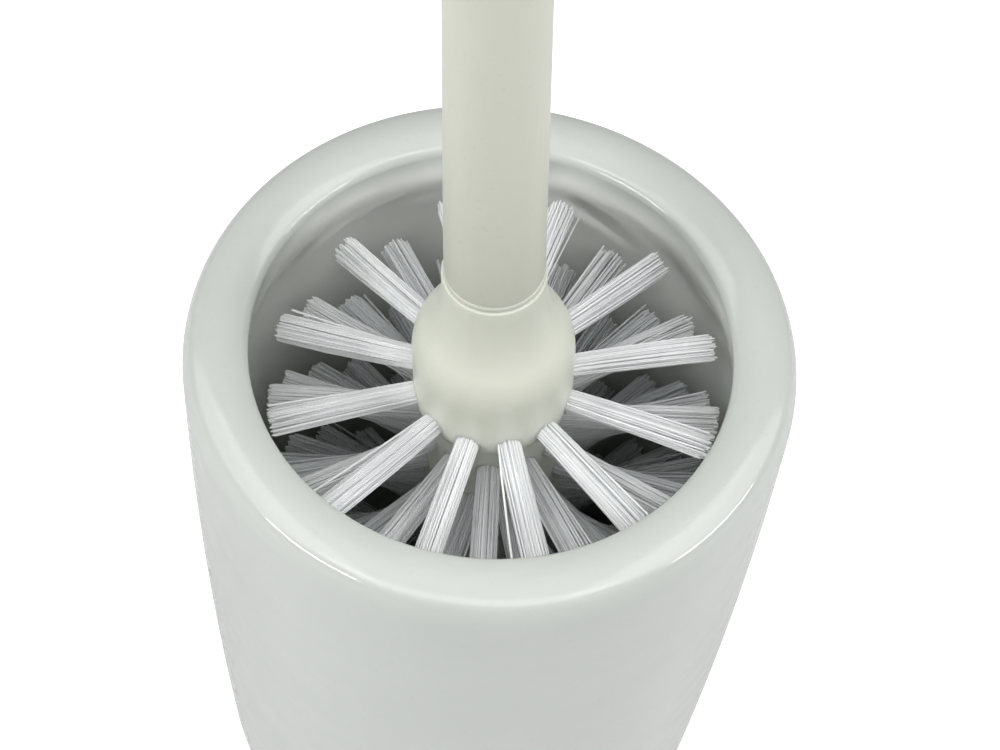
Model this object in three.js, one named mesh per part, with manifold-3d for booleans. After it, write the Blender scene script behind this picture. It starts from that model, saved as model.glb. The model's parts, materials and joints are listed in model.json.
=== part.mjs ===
// A toilet brush standing in its round glazed ceramic holder.
// Millimetres, +Z up. The origin is on the floor, under the middle of the holder.
// The holder is one ceramic cup on three rubber pads. The brush is a moulded head with
// nylon tufts in drilled sockets, and a tube handle that screws onto the head's stud.
import * as THREE from "three";
import { mergeVertices } from "three/addons/utils/BufferGeometryUtils.js";
import Module from "manifold-3d";

// --- Holder ---------------------------------------------------------------------------
const CUP_HEIGHT = 137.5; // foot ring to rim
const RIM_RADIUS = 55;
const RIM_WIDTH = 11.7; // outside of the rim to the mouth
const RIM_SLOPE = THREE.MathUtils.degToRad(22); // of the rim's crowned top, where it ends
const RIM_EDGE_ROUND = 3;
const RIM_EDGE_END = THREE.MathUtils.degToRad(67); // slope where the edge eases into the side
const RIM_EASE_ROUND = 10;
const MOUTH_ROUND = 2;
const LIP_DEPTH = 26; // rim to where the wall below the thick lip starts
const WALL = 7;
const SIDE_TAPER = 8.5; // radius that the side loses from the rim to the base
const BASE_SLOPE = THREE.MathUtils.degToRad(6.4); // lean of the side where the base rounding starts
const BASE_ROUND = 19;
const FOOT_RING_WIDTH = 8;
const FOOT_RECESS = 4;
const FLOOR_THICKNESS = 8;
const FLOOR_ROUND = 12;

// --- Foot pads ------------------------------------------------------------------------
const PAD_COUNT = 3;
const PAD_RADIUS = 3;
const PAD_PROUD = 1; // what stands below the foot ring
const PAD_SEAT = 0.8; // depth of the seat in the foot ring

// --- Brush head -----------------------------------------------------------------------
const LEAN_LEFT = THREE.MathUtils.degToRad(2.4); // the brush leans to -X in its holder
const LEAN_FRONT = THREE.MathUtils.degToRad(1.05); // and a little to -Y
const RIM_OFFSET = new THREE.Vector2(0.26, 0.23); // holder's axis to the brush's, at the rim
const ROW_COUNT = 8;
const ROW_PITCH = 11.2;
const FIRST_ROW_PITCH = 12.6; // first row to the second, at the brush's axis
const FIRST_ROW_DROOP = THREE.MathUtils.degToRad(5.5); // the first row's tufts point down a little
const TUFTS_PER_ROW = 12;
const FIRST_TUFT = THREE.MathUtils.degToRad(0.74); // turn of the head in the holder
const TUFT_ROOT_RADIUS = 2.1;
const TUFT_TIP_RADIUS = 2.65;
const MOUTH_CLEARANCE = 1.95; // tuft tips to the mouth
const WALL_CLEARANCE = 0.8; // tuft tips to the wall lower down
const CORE_RADIUS = 12.6;
const SOCKET_DEPTH = 2.4;
const END_REACH = 30; // centre of the rounded end to the tips of its tufts
const END_TO_ROW = 4; // centre of the rounded end to the last row
const END_RINGS = [
  { count: 8, polar: THREE.MathUtils.degToRad(62) },
  { count: 5, polar: THREE.MathUtils.degToRad(28) },
  { count: 1, polar: 0 },
];
const BULB_PROUD = 2; // what the bulb stands out from the core
const BULB_RISE = 9.8; // first row to the middle of the bulb
const BULB_SHOULDER = THREE.MathUtils.degToRad(31.8); // where the bulb turns into the collar
const BULB_SIDE_TAPER = 0.2;
const SKIRT_START = 1.7; // first row down to where the bulb's side starts to round under
const SKIRT_DROP = 5.2; // first row down to where the bulb meets the core
const COLLAR_PROUD = 0.4; // what the collar stands out from the handle
const COLLAR_BLEND = 9.2; // upper half of the curve from the bulb into the collar
const COLLAR_STRAIGHT = 2.22; // straight part of the collar, above that curve
const HUB_THICKNESS = 3;
const HUB_SPINDLE_RADIUS = 3;
const HUB_JOIN = 1.5; // how deep a tuft's root lies inside its hub

// --- Screw joint ----------------------------------------------------------------------
const STUD_RADIUS = 4.2;
const STUD_LENGTH = 16;
const THREAD_PITCH = 3;
const THREAD_RIDGE = 0.9; // radius of the round ridge
const THREAD_START = 2.5; // collar to the ridge
const THREAD_STOP = 1.5; // ridge to the end of the stud
const SEAL_THICKNESS = 0.9;
const SEAL_CLEARANCE = 0.9; // thread to the ring's bore

// --- Handle ---------------------------------------------------------------------------
const HANDLE_RADIUS = 8.85;
const HANDLE_WALL = 1.2;
const HANDLE_LENGTH = 226;
const INSERT_LENGTH = 24;
const CAP_PLUG_LENGTH = 10;
const CAP_HEIGHT = 6;

// --- Fits and facets ------------------------------------------------------------------
const GAP = 0.3; // between pieces that meet
const CUP_SIDES = 48;
const CORE_SIDES = 24;
const HANDLE_SIDES = 32;
const TUFT_SIDES = 6;
const PAD_SIDES = 16;
const THREAD_STEPS = 14; // per turn
const THREAD_ARC_STEPS = 4;
const ARC_STEPS = 3;
const WALL_STEPS = 6;
const SEPARATE_ROWS = 4; // rows whose tufts are pieces of their own
const ROWS_PER_HUB = 2; // deeper rows that share a hub

// --- Places that follow from the sizes above --------------------------------------------
const RIM_Z = PAD_PROUD + CUP_HEIGHT;
const FLOOR_Z = PAD_PROUD + FOOT_RECESS + FLOOR_THICKNESS;
const MOUTH_RADIUS = RIM_RADIUS - RIM_WIDTH;
const EASE_CENTRE_RADIUS = RIM_RADIUS - RIM_EASE_ROUND;
const EASE_TO_EDGE = RIM_EASE_ROUND - RIM_EDGE_ROUND; // between the centres of the two curves
const EDGE_CENTRE_RADIUS = EASE_CENTRE_RADIUS + EASE_TO_EDGE * Math.sin(RIM_EDGE_END);
const EDGE_RISE = EASE_TO_EDGE * Math.cos(RIM_EDGE_END); // side's top to the edge's centre
const CROWN_RADIUS = EDGE_CENTRE_RADIUS + RIM_EDGE_ROUND * Math.sin(RIM_SLOPE);
const CROWN_WIDTH = CROWN_RADIUS - MOUTH_RADIUS - MOUTH_ROUND * (1 - Math.sin(RIM_SLOPE));
const CROWN_BEND = (CROWN_WIDTH / 2) * Math.tan(RIM_SLOPE); // the crown itself is half as high
const CROWN_END_Z = RIM_Z - CROWN_BEND / 2;
const SIDE_TOP_Z = CROWN_END_Z - RIM_EDGE_ROUND * Math.cos(RIM_SLOPE) - EDGE_RISE;
const SIDE_BASE_Z = PAD_PROUD + BASE_ROUND * (1 - Math.sin(BASE_SLOPE));
const BASE_RADIUS = RIM_RADIUS - SIDE_TAPER;
const SIDE_MIDDLE_RADIUS = BASE_RADIUS + (Math.tan(BASE_SLOPE) * (SIDE_TOP_Z - SIDE_BASE_Z)) / 2;
const FOOT_OUTER_RADIUS = BASE_RADIUS - BASE_ROUND * Math.cos(BASE_SLOPE);
const FOOT_INNER_RADIUS = FOOT_OUTER_RADIUS - FOOT_RING_WIDTH;
const PAD_CIRCLE = (FOOT_OUTER_RADIUS + FOOT_INNER_RADIUS) / 2;

const BULB_RADIUS = CORE_RADIUS + BULB_PROUD;
const COLLAR_RADIUS = HANDLE_RADIUS + COLLAR_PROUD;
const SEAL_BORE = STUD_RADIUS + THREAD_RIDGE + SEAL_CLEARANCE;
const SOCKET_FLOOR = CORE_RADIUS - SOCKET_DEPTH;
const SOCKET_RADIUS = TUFT_ROOT_RADIUS + GAP / Math.cos(Math.PI / TUFT_SIDES);
const TUFT_REACH = MOUTH_RADIUS - RIM_OFFSET.length() - MOUTH_CLEARANCE;

/** Sideways shift of the brush's axis for each millimetre of depth below the rim. */
const LEAN_SHIFT = new THREE.Vector2(Math.tan(LEAN_LEFT), Math.tan(LEAN_FRONT));
const BRUSH_AXIS = new THREE.Vector3(-LEAN_SHIFT.x, -LEAN_SHIFT.y, 1).normalize();
const LEAN = Math.acos(BRUSH_AXIS.z);

// Along the brush's own axis, from the tip of the middle end tuft.
const BRUSH_TIP_Z = FLOOR_Z + GAP + TUFT_TIP_RADIUS * Math.sin(LEAN);
const END_CENTRE = END_REACH;
const LAST_ROW = END_CENTRE + END_TO_ROW;
const SECOND_ROW = LAST_ROW + (ROW_COUNT - 2) * ROW_PITCH;
const FIRST_ROW = SECOND_ROW + FIRST_ROW_PITCH;
const BULB_CENTRE = FIRST_ROW + BULB_RISE;
const SHOULDER_RADIUS = BULB_RADIUS * Math.cos(BULB_SHOULDER);
const SHOULDER = BULB_CENTRE + BULB_RADIUS * Math.sin(BULB_SHOULDER);
const COLLAR_BEND = SHOULDER + (SHOULDER_RADIUS - COLLAR_RADIUS) / Math.tan(BULB_SHOULDER);
const COLLAR_TOP = COLLAR_BEND + COLLAR_BLEND + COLLAR_STRAIGHT;
const STUD_TOP = COLLAR_TOP + STUD_LENGTH;
const SEAL_BOTTOM = COLLAR_TOP + GAP;
const HANDLE_BOTTOM = SEAL_BOTTOM + SEAL_THICKNESS + GAP;
const HANDLE_TOP = HANDLE_BOTTOM + HANDLE_LENGTH;

// --- Materials --------------------------------------------------------------------------
const glaze = new THREE.MeshStandardMaterial({ color: 0xe4e8e2, roughness: 0.12 });
const padRubber = new THREE.MeshStandardMaterial({ color: 0xc9cbc6, roughness: 0.8 });
const headPlastic = new THREE.MeshStandardMaterial({ color: 0xd6d9cc, roughness: 0.35 });
const sealPlastic = new THREE.MeshStandardMaterial({ color: 0xe0e2d4, roughness: 0.4 });
const nylon = new THREE.MeshStandardMaterial({ color: 0xe6ecea, roughness: 0.45 });
const handlePlastic = new THREE.MeshStandardMaterial({ color: 0xd2d3c5, roughness: 0.3 });
const insertPlastic = new THREE.MeshStandardMaterial({ color: 0xcfd0c4, roughness: 0.5 });

// --- Solids -------------------------------------------------------------------------------
const wasm = await Module();
wasm.setup();

/** A closed three.js geometry as a solid that can be joined and cut. */
function solidOf(geometry) {
  const bare = geometry.clone();
  bare.deleteAttribute("normal");
  bare.deleteAttribute("uv");
  const merged = mergeVertices(bare, 1e-4);
  return new wasm.Manifold(
    new wasm.Mesh({
      numProp: 3,
      vertProperties: new Float32Array(merged.attributes.position.array),
      triVerts: new Uint32Array(merged.index.array),
    }),
  );
}

/** The surface of a solid as a three.js geometry. */
function geometryOf(solid) {
  const mesh = solid.getMesh();
  const geometry = new THREE.BufferGeometry();
  geometry.setAttribute("position", new THREE.BufferAttribute(mesh.vertProperties, 3));
  geometry.setIndex(new THREE.BufferAttribute(mesh.triVerts, 1));
  geometry.computeVertexNormals();
  return geometry;
}

/** The points of an outline of (radius, height), turned about +Z. It runs anticlockwise. */
function turned(points, sides) {
  const lathe = new THREE.LatheGeometry(points, sides);
  return lathe.rotateX(Math.PI / 2);
}

/** A round bar along +Z from one height to another, with a radius at each end. */
function bar(lowRadius, highRadius, low, high, sides) {
  const geometry = new THREE.CylinderGeometry(highRadius, lowRadius, high - low, sides);
  return geometry.rotateX(Math.PI / 2).translate(0, 0, (low + high) / 2);
}

/** Moves a geometry that lies along +Z so that it starts at `from` and points along the turn. */
function aimed(geometry, azimuth, polar, height) {
  return geometry.rotateY(polar).rotateZ(azimuth).translate(0, 0, height);
}

function addMesh(group, name, geometry, material) {
  const mesh = new THREE.Mesh(geometry, material);
  mesh.name = name;
  group.add(mesh);
}

// --- Holder cup -----------------------------------------------------------------------------

/** Radius of the outside of the cup's side: a shallow curve, steepest at the base. */
function sideRadius(z) {
  const t = (SIDE_TOP_Z - z) / (SIDE_TOP_Z - SIDE_BASE_Z);
  return (1 - t) ** 2 * RIM_RADIUS + 2 * t * (1 - t) * SIDE_MIDDLE_RADIUS + t * t * BASE_RADIUS;
}

/** Radius of the inside of the cup's wall, below the lip. */
function wallRadius(z) {
  return sideRadius(z) - WALL;
}

function cupOutline() {
  const lipZ = RIM_Z - LIP_DEPTH;
  const roundZ = FLOOR_Z + FLOOR_ROUND;
  const mouthZ = CROWN_END_Z - MOUTH_ROUND * Math.cos(RIM_SLOPE);
  const lipMiddle = (mouthZ + lipZ) / 2;
  const edgeEnd = Math.PI / 2 - RIM_EDGE_END;
  const edgeZ = SIDE_TOP_Z + EDGE_RISE;
  const outside = new THREE.Path()
    .moveTo(0, PAD_PROUD + FOOT_RECESS)
    .lineTo(FOOT_INNER_RADIUS - FOOT_RECESS / 2, PAD_PROUD + FOOT_RECESS)
    .lineTo(FOOT_INNER_RADIUS, PAD_PROUD)
    .lineTo(FOOT_OUTER_RADIUS, PAD_PROUD)
    .absarc(FOOT_OUTER_RADIUS, PAD_PROUD + BASE_ROUND, BASE_ROUND, -Math.PI / 2, -BASE_SLOPE)
    .quadraticCurveTo(SIDE_MIDDLE_RADIUS, (SIDE_TOP_Z + SIDE_BASE_Z) / 2, RIM_RADIUS, SIDE_TOP_Z)
    .absarc(EASE_CENTRE_RADIUS, SIDE_TOP_Z, RIM_EASE_ROUND, 0, edgeEnd)
    .absarc(EDGE_CENTRE_RADIUS, edgeZ, RIM_EDGE_ROUND, edgeEnd, Math.PI / 2 - RIM_SLOPE)
    .quadraticCurveTo(
      CROWN_RADIUS - CROWN_WIDTH / 2,
      CROWN_END_Z + CROWN_BEND,
      CROWN_RADIUS - CROWN_WIDTH,
      CROWN_END_Z,
    )
    .absarc(MOUTH_RADIUS + MOUTH_ROUND, mouthZ, MOUTH_ROUND, Math.PI / 2 + RIM_SLOPE, Math.PI)
    .bezierCurveTo(MOUTH_RADIUS, lipMiddle, wallRadius(lipZ), lipMiddle, wallRadius(lipZ), lipZ);
  const points = outside.getPoints(ARC_STEPS);
  for (let i = 1; i <= WALL_STEPS; i++) {
    const z = lipZ + ((roundZ - lipZ) * i) / WALL_STEPS;
    points.push(new THREE.Vector2(wallRadius(z), z));
  }
  const inside = new THREE.Path()
    .absarc(wallRadius(roundZ) - FLOOR_ROUND, roundZ, FLOOR_ROUND, 0, -Math.PI / 2, true)
    .lineTo(0, FLOOR_Z);
  return points.concat(inside.getPoints(ARC_STEPS).slice(1));
}

/** Puts a geometry made on +Z at one pad's place on the foot ring. */
function atPad(geometry, index) {
  const angle = (index * 2 * Math.PI) / PAD_COUNT + Math.PI / 2;
  return geometry.translate(PAD_CIRCLE * Math.cos(angle), PAD_CIRCLE * Math.sin(angle), 0);
}

function holderCup() {
  let cup = solidOf(turned(cupOutline(), CUP_SIDES));
  const seatTop = PAD_PROUD + PAD_SEAT;
  for (let i = 0; i < PAD_COUNT; i++) {
    const seat = bar(PAD_RADIUS + GAP, PAD_RADIUS + GAP, 0, seatTop, PAD_SIDES);
    cup = cup.subtract(solidOf(atPad(seat, i)));
  }
  return geometryOf(cup);
}

// --- Brush head -------------------------------------------------------------------------------

/** Where the brush's axis is at a height, as seen from above. */
function axisAt(z) {
  return RIM_OFFSET.clone().addScaledVector(LEAN_SHIFT, RIM_Z - z);
}

/** How far the tufts of a row reach from the brush's axis and stay clear of the holder. */
function rowReach(along) {
  const z = BRUSH_TIP_Z + along * Math.cos(LEAN);
  return Math.min(TUFT_REACH, wallRadius(z) - axisAt(z).length() - WALL_CLEARANCE);
}

/** How far an end tuft reaches from the centre of the rounded end. */
function endReach(polar) {
  const tip = END_CENTRE - END_REACH * Math.cos(polar);
  const widest = rowReach(tip) - TUFT_TIP_RADIUS;
  return Math.min(END_REACH, widest / Math.max(Math.sin(polar), Number.EPSILON));
}

/** Places of the tufts of a row: each row is turned half a pitch from the one above it. */
function rowTufts(row) {
  const pitch = (2 * Math.PI) / TUFTS_PER_ROW;
  const tufts = [];
  for (let i = 0; i < TUFTS_PER_ROW; i++) {
    tufts.push({
      azimuth: FIRST_TUFT + (i + (row % 2) / 2) * pitch,
      polar: row === 1 ? Math.PI / 2 + FIRST_ROW_DROOP : Math.PI / 2,
      along: row === 1 ? FIRST_ROW : SECOND_ROW - (row - 2) * ROW_PITCH,
    });
  }
  return tufts;
}

/** Places of the tufts in the rounded end, ring by ring. */
function endTufts() {
  const tufts = [];
  for (const ring of END_RINGS) {
    for (let i = 0; i < ring.count; i++) {
      const azimuth = FIRST_TUFT + (i * 2 * Math.PI) / ring.count;
      tufts.push({ azimuth, polar: Math.PI - ring.polar, along: END_CENTRE });
    }
  }
  return tufts;
}

/** A tuft that starts at a distance from the axis and spreads a little towards its tip. */
function tuft(place, start, reach) {
  const shape = bar(TUFT_ROOT_RADIUS, TUFT_TIP_RADIUS, start, reach, TUFT_SIDES);
  return aimed(shape, place.azimuth, place.polar, place.along);
}

/** The space that a tuft's socket takes out of the core. */
function socket(place, start) {
  const shape = bar(SOCKET_RADIUS, SOCKET_RADIUS, start, BULB_RADIUS + GAP, TUFT_SIDES);
  return aimed(shape, place.azimuth, place.polar, place.along);
}

function hasHub(row) {
  return row > SEPARATE_ROWS;
}

/** The hidden discs that carry some deeper rows, on one spindle, or the space for them. */
function rowHub(rows, grow) {
  const radius = SOCKET_FLOOR - GAP + grow;
  const heights = rows.map((row) => rowTufts(row)[0].along);
  const low = Math.min(...heights);
  const high = Math.max(...heights);
  let hub = solidOf(bar(HUB_SPINDLE_RADIUS + grow, HUB_SPINDLE_RADIUS + grow, low, high, CORE_SIDES));
  for (const height of heights) {
    const half = HUB_THICKNESS / 2 + grow;
    hub = hub.add(solidOf(bar(radius, radius, height - half, height + half, CORE_SIDES)));
  }
  return hub;
}

/** The hidden bowl that carries the end tufts, or the space for it. */
function endHub(grow) {
  const radius = SOCKET_FLOOR - HUB_SPINDLE_RADIUS + grow;
  const top = END_CENTRE + grow;
  const outline = new THREE.Path()
    .moveTo(0, top - radius)
    .absarc(0, top, radius, -Math.PI / 2, 0)
    .lineTo(0, top);
  return solidOf(turned(outline.getPoints(ARC_STEPS), CORE_SIDES));
}

/** Groups of deeper rows, each on a hub of its own. */
function hubGroups() {
  const groups = [];
  for (let row = SEPARATE_ROWS + 1; row <= ROW_COUNT; row += ROWS_PER_HUB) {
    const last = Math.min(row + ROWS_PER_HUB - 1, ROW_COUNT);
    groups.push(Array.from({ length: last - row + 1 }, (_, i) => row + i));
  }
  return groups;
}

function coreOutline() {
  const skirtRadius = BULB_RADIUS - BULB_SIDE_TAPER;
  const skirtEnd = FIRST_ROW - SKIRT_DROP;
  const outline = new THREE.Path()
    .moveTo(0, END_CENTRE - CORE_RADIUS)
    .absarc(0, END_CENTRE, CORE_RADIUS, -Math.PI / 2, 0)
    .lineTo(CORE_RADIUS, skirtEnd)
    .quadraticCurveTo(skirtRadius, skirtEnd, skirtRadius, FIRST_ROW - SKIRT_START)
    .lineTo(BULB_RADIUS, BULB_CENTRE)
    .absarc(0, BULB_CENTRE, BULB_RADIUS, 0, BULB_SHOULDER)
    .quadraticCurveTo(COLLAR_RADIUS, COLLAR_BEND, COLLAR_RADIUS, COLLAR_BEND + COLLAR_BLEND)
    .lineTo(COLLAR_RADIUS, COLLAR_TOP)
    .lineTo(STUD_RADIUS, COLLAR_TOP)
    .lineTo(STUD_RADIUS, STUD_TOP)
    .lineTo(0, STUD_TOP);
  return outline.getPoints(ARC_STEPS);
}

/** The helix that the thread follows, at the stud's surface. */
class Helix extends THREE.Curve {
  constructor(low, high) {
    super();
    this.low = low;
    this.high = high;
  }

  getPoint(t, target = new THREE.Vector3()) {
    const height = THREE.MathUtils.lerp(this.low, this.high, t);
    const angle = ((height - COLLAR_TOP) * 2 * Math.PI) / THREAD_PITCH;
    return target.set(STUD_RADIUS * Math.cos(angle), STUD_RADIUS * Math.sin(angle), height);
  }
}

/** A round ridge along the helix between two heights. */
function threadRidge(radius, low, high) {
  const section = new THREE.Shape().absarc(0, 0, radius, 0, 2 * Math.PI);
  const ridge = new THREE.ExtrudeGeometry(section, {
    steps: Math.round(((high - low) / THREAD_PITCH) * THREAD_STEPS),
    curveSegments: THREAD_ARC_STEPS,
    extrudePath: new Helix(low, high),
  });
  return solidOf(ridge);
}

function headCore() {
  let core = solidOf(turned(coreOutline(), CORE_SIDES));
  core = core.add(threadRidge(THREAD_RIDGE, COLLAR_TOP + THREAD_START, STUD_TOP - THREAD_STOP));
  for (let row = 1; row <= ROW_COUNT; row++) {
    const start = hasHub(row) ? SOCKET_FLOOR - HUB_JOIN - GAP : SOCKET_FLOOR;
    for (const place of rowTufts(row)) {
      core = core.subtract(solidOf(socket(place, start)));
    }
  }
  for (const group of hubGroups()) {
    core = core.subtract(rowHub(group, GAP));
  }
  for (const place of endTufts()) {
    core = core.subtract(solidOf(socket(place, HUB_SPINDLE_RADIUS)));
  }
  return geometryOf(core.subtract(endHub(GAP)));
}

function joinedRows(rows) {
  let joined = rowHub(rows, 0);
  for (const row of rows) {
    for (const place of rowTufts(row)) {
      const shape = tuft(place, SOCKET_FLOOR - HUB_JOIN, rowReach(place.along));
      joined = joined.add(solidOf(shape));
    }
  }
  return geometryOf(joined);
}

function joinedEndTufts() {
  let joined = endHub(0);
  for (const place of endTufts()) {
    const reach = endReach(Math.PI - place.polar);
    joined = joined.add(solidOf(tuft(place, HUB_SPINDLE_RADIUS + GAP, reach)));
  }
  return geometryOf(joined);
}

// --- Seal ring ----------------------------------------------------------------------------------

function sealRing() {
  const outline = new THREE.Path()
    .moveTo(SEAL_BORE, SEAL_BOTTOM)
    .lineTo(COLLAR_RADIUS, SEAL_BOTTOM)
    .lineTo(COLLAR_RADIUS, SEAL_BOTTOM + SEAL_THICKNESS)
    .lineTo(SEAL_BORE, SEAL_BOTTOM + SEAL_THICKNESS)
    .closePath();
  return turned(outline.getPoints(), HANDLE_SIDES);
}

// --- Handle ---------------------------------------------------------------------------------------

function handleTube() {
  const bore = HANDLE_RADIUS - HANDLE_WALL;
  const outline = new THREE.Path()
    .moveTo(bore, HANDLE_BOTTOM)
    .lineTo(HANDLE_RADIUS, HANDLE_BOTTOM)
    .lineTo(HANDLE_RADIUS, HANDLE_TOP)
    .lineTo(bore, HANDLE_TOP)
    .closePath();
  return turned(outline.getPoints(), HANDLE_SIDES);
}

function threadInsert() {
  const radius = HANDLE_RADIUS - HANDLE_WALL - GAP;
  const plug = bar(radius, radius, HANDLE_BOTTOM, HANDLE_BOTTOM + INSERT_LENGTH, HANDLE_SIDES);
  const boreRadius = STUD_RADIUS + GAP;
  const boreTop = STUD_TOP + 2 * GAP;
  const bore = bar(boreRadius, boreRadius, COLLAR_TOP, boreTop, CORE_SIDES);
  const groove = threadRidge(THREAD_RIDGE + GAP, COLLAR_TOP, STUD_TOP);
  return geometryOf(solidOf(plug).subtract(solidOf(bore)).subtract(groove));
}

function handleCap() {
  const plugRadius = HANDLE_RADIUS - HANDLE_WALL - GAP;
  const seat = HANDLE_TOP + GAP;
  const edge = CAP_HEIGHT / 2;
  const outline = new THREE.Path()
    .moveTo(0, HANDLE_TOP - CAP_PLUG_LENGTH)
    .lineTo(plugRadius, HANDLE_TOP - CAP_PLUG_LENGTH)
    .lineTo(plugRadius, seat)
    .lineTo(HANDLE_RADIUS, seat)
    .lineTo(HANDLE_RADIUS, seat + CAP_HEIGHT - edge)
    .absarc(HANDLE_RADIUS - edge, seat + CAP_HEIGHT - edge, edge, 0, Math.PI / 2)
    .lineTo(0, seat + CAP_HEIGHT);
  return turned(outline.getPoints(ARC_STEPS), HANDLE_SIDES);
}

// --- Assembly ---------------------------------------------------------------------------------------
const holder = new THREE.Group();
addMesh(holder, "holder_cup", holderCup(), glaze);
for (let i = 0; i < PAD_COUNT; i++) {
  const pad = bar(PAD_RADIUS, PAD_RADIUS, 0, PAD_PROUD + PAD_SEAT - GAP, PAD_SIDES);
  addMesh(holder, `foot_pad_${i + 1}`, atPad(pad, i), padRubber);
}

const brush = new THREE.Group();
const brushFoot = axisAt(BRUSH_TIP_Z);
brush.position.set(brushFoot.x, brushFoot.y, BRUSH_TIP_Z);
brush.quaternion.setFromUnitVectors(new THREE.Vector3(0, 0, 1), BRUSH_AXIS);
addMesh(brush, "head_core", headCore(), headPlastic);
for (let row = 1; row <= SEPARATE_ROWS; row++) {
  rowTufts(row).forEach((place, i) => {
    const shape = tuft(place, SOCKET_FLOOR + GAP, rowReach(place.along));
    addMesh(brush, `tuft_row${row}_${String(i + 1).padStart(2, "0")}`, shape, nylon);
  });
}
for (const group of hubGroups()) {
  addMesh(brush, `tuft_rows_${group[0]}_to_${group.at(-1)}`, joinedRows(group), nylon);
}
addMesh(brush, "tufts_rounded_end", joinedEndTufts(), nylon);
addMesh(brush, "seal_ring", sealRing(), sealPlastic);
addMesh(brush, "handle_tube", handleTube(), handlePlastic);
addMesh(brush, "thread_insert", threadInsert(), insertPlastic);
addMesh(brush, "handle_end_cap", handleCap(), handlePlastic);

const brushSet = new THREE.Group();
brushSet.add(holder, brush);
export default brushSet;
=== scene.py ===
import json

import bpy
import numpy as np
from mathutils import Matrix, Vector


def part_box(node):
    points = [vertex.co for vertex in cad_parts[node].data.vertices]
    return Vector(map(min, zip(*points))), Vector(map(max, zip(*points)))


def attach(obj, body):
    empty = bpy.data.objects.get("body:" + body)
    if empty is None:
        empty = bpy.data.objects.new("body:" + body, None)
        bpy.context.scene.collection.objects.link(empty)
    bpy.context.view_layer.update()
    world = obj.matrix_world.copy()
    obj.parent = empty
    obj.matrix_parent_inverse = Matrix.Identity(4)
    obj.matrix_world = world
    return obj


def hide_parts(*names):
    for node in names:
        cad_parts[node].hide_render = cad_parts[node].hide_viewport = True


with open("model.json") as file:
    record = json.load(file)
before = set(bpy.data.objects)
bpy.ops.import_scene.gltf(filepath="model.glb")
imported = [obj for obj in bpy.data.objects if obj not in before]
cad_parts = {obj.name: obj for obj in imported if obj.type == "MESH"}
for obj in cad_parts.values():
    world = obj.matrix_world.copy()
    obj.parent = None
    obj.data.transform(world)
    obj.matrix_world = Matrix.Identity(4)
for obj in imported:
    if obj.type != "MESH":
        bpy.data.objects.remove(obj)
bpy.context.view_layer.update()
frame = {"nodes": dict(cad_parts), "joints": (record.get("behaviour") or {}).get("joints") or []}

# Sizes and points are in millimetres. They become metres where a mesh is made.
MM = 0.001

# --- Holder cup -----------------------------------------------------------------------
# A slip-cast stoneware cup with a thick, gently crowned rim and a tapering side, dipped in
# a glossy white glaze. It is fired standing on its foot ring, which is wiped bare.
cup_low, cup_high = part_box("holder_cup")
CUP_FOOT = cup_low.z / MM
RIM_Z = cup_high.z / MM
RIM_RADIUS = cup_high.x / MM
MOUTH_RADIUS = 43.3
RIM_SLOPE = 22  # degrees, of the rim's crowned top where it ends
RIM_EDGE_ROUND = 3
RIM_EDGE_END = 67  # degrees, where the edge eases into the side
RIM_EASE_ROUND = 10
MOUTH_ROUND = 2
LIP_DEPTH = 26
WALL = 7
BASE_RADIUS = 46.5
BASE_SLOPE = np.radians(6.4)
BASE_ROUND = 19
FOOT_RING_WIDTH = 8
FOOT_RECESS = 4
FOOT_EDGE_ROUND = 0.6
FOOT_OUTER_FLAT = 3
FLOOR_THICKNESS = 8
FLOOR_ROUND = 12
CUP_SIDES = 224
OUT_OF_ROUND = 0.07  # what the cup warps in the kiln
OVAL_TURN = 0.7  # radians, which way the warp's two-sided and three-sided waves face
THREE_LOBE_TURN = 2.1
THREE_LOBE_SHARE = 0.5
BARE_ENDS = (0.35, 0.8)  # heights over the foot between which bare clay gives way to glaze
WELL_LIGHT_STARTS = (1.5, 9)  # depths below the rim between which the well's painted light comes in
WELL_LIGHT_ENDS = (30, 75)  # and those between which it goes again
GLAZE_ROUGHNESS = (0.07, 0.12)
GLAZE_WHITE = (0.54, 0.565, 0.535, 1)
GLAZE_DEEP = (0.52, 0.545, 0.515, 1)
# Painted light: a paler glaze colour for the well's inner wall, standing for the light that falls into
# the cup
GLAZE_WELL_PAINTED_LIGHT = (0.87, 0.885, 0.845, 1)
GLAZE_SPECK = (0.42, 0.43, 0.40, 1)
BARE_CLAY = (0.66, 0.60, 0.51, 1)

ease_radius = RIM_RADIUS - RIM_EASE_ROUND
ease_to_edge = RIM_EASE_ROUND - RIM_EDGE_ROUND
edge_radius = ease_radius + ease_to_edge * np.sin(np.radians(RIM_EDGE_END))
edge_rise = ease_to_edge * np.cos(np.radians(RIM_EDGE_END))
slope_out, slope_up = np.sin(np.radians(RIM_SLOPE)), np.cos(np.radians(RIM_SLOPE))
crown_start = edge_radius + RIM_EDGE_ROUND * slope_out
crown_width = crown_start - MOUTH_RADIUS - MOUTH_ROUND * (1 - slope_out)
crown_bend = crown_width / 2 * np.tan(np.radians(RIM_SLOPE))
crown_end = RIM_Z - crown_bend / 2
SIDE_TOP = crown_end - RIM_EDGE_ROUND * slope_up - edge_rise
SIDE_BASE = CUP_FOOT + BASE_ROUND * (1 - np.sin(BASE_SLOPE))
SIDE_MIDDLE_RADIUS = BASE_RADIUS + np.tan(BASE_SLOPE) * (SIDE_TOP - SIDE_BASE) / 2
FLOOR_Z = CUP_FOOT + FOOT_RECESS + FLOOR_THICKNESS
FOOT_OUTER = BASE_RADIUS - BASE_ROUND * np.cos(BASE_SLOPE)
FOOT_INNER = FOOT_OUTER - FOOT_RING_WIDTH


def arc(centre, radius, start, end, count):
    """Points of a circle: centre plus radius times (cosine, sine) of evenly spaced angles."""
    angle = np.radians(np.linspace(start, end, count))
    return np.array(centre) + radius * np.stack([np.cos(angle), np.sin(angle)], axis=-1)


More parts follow.
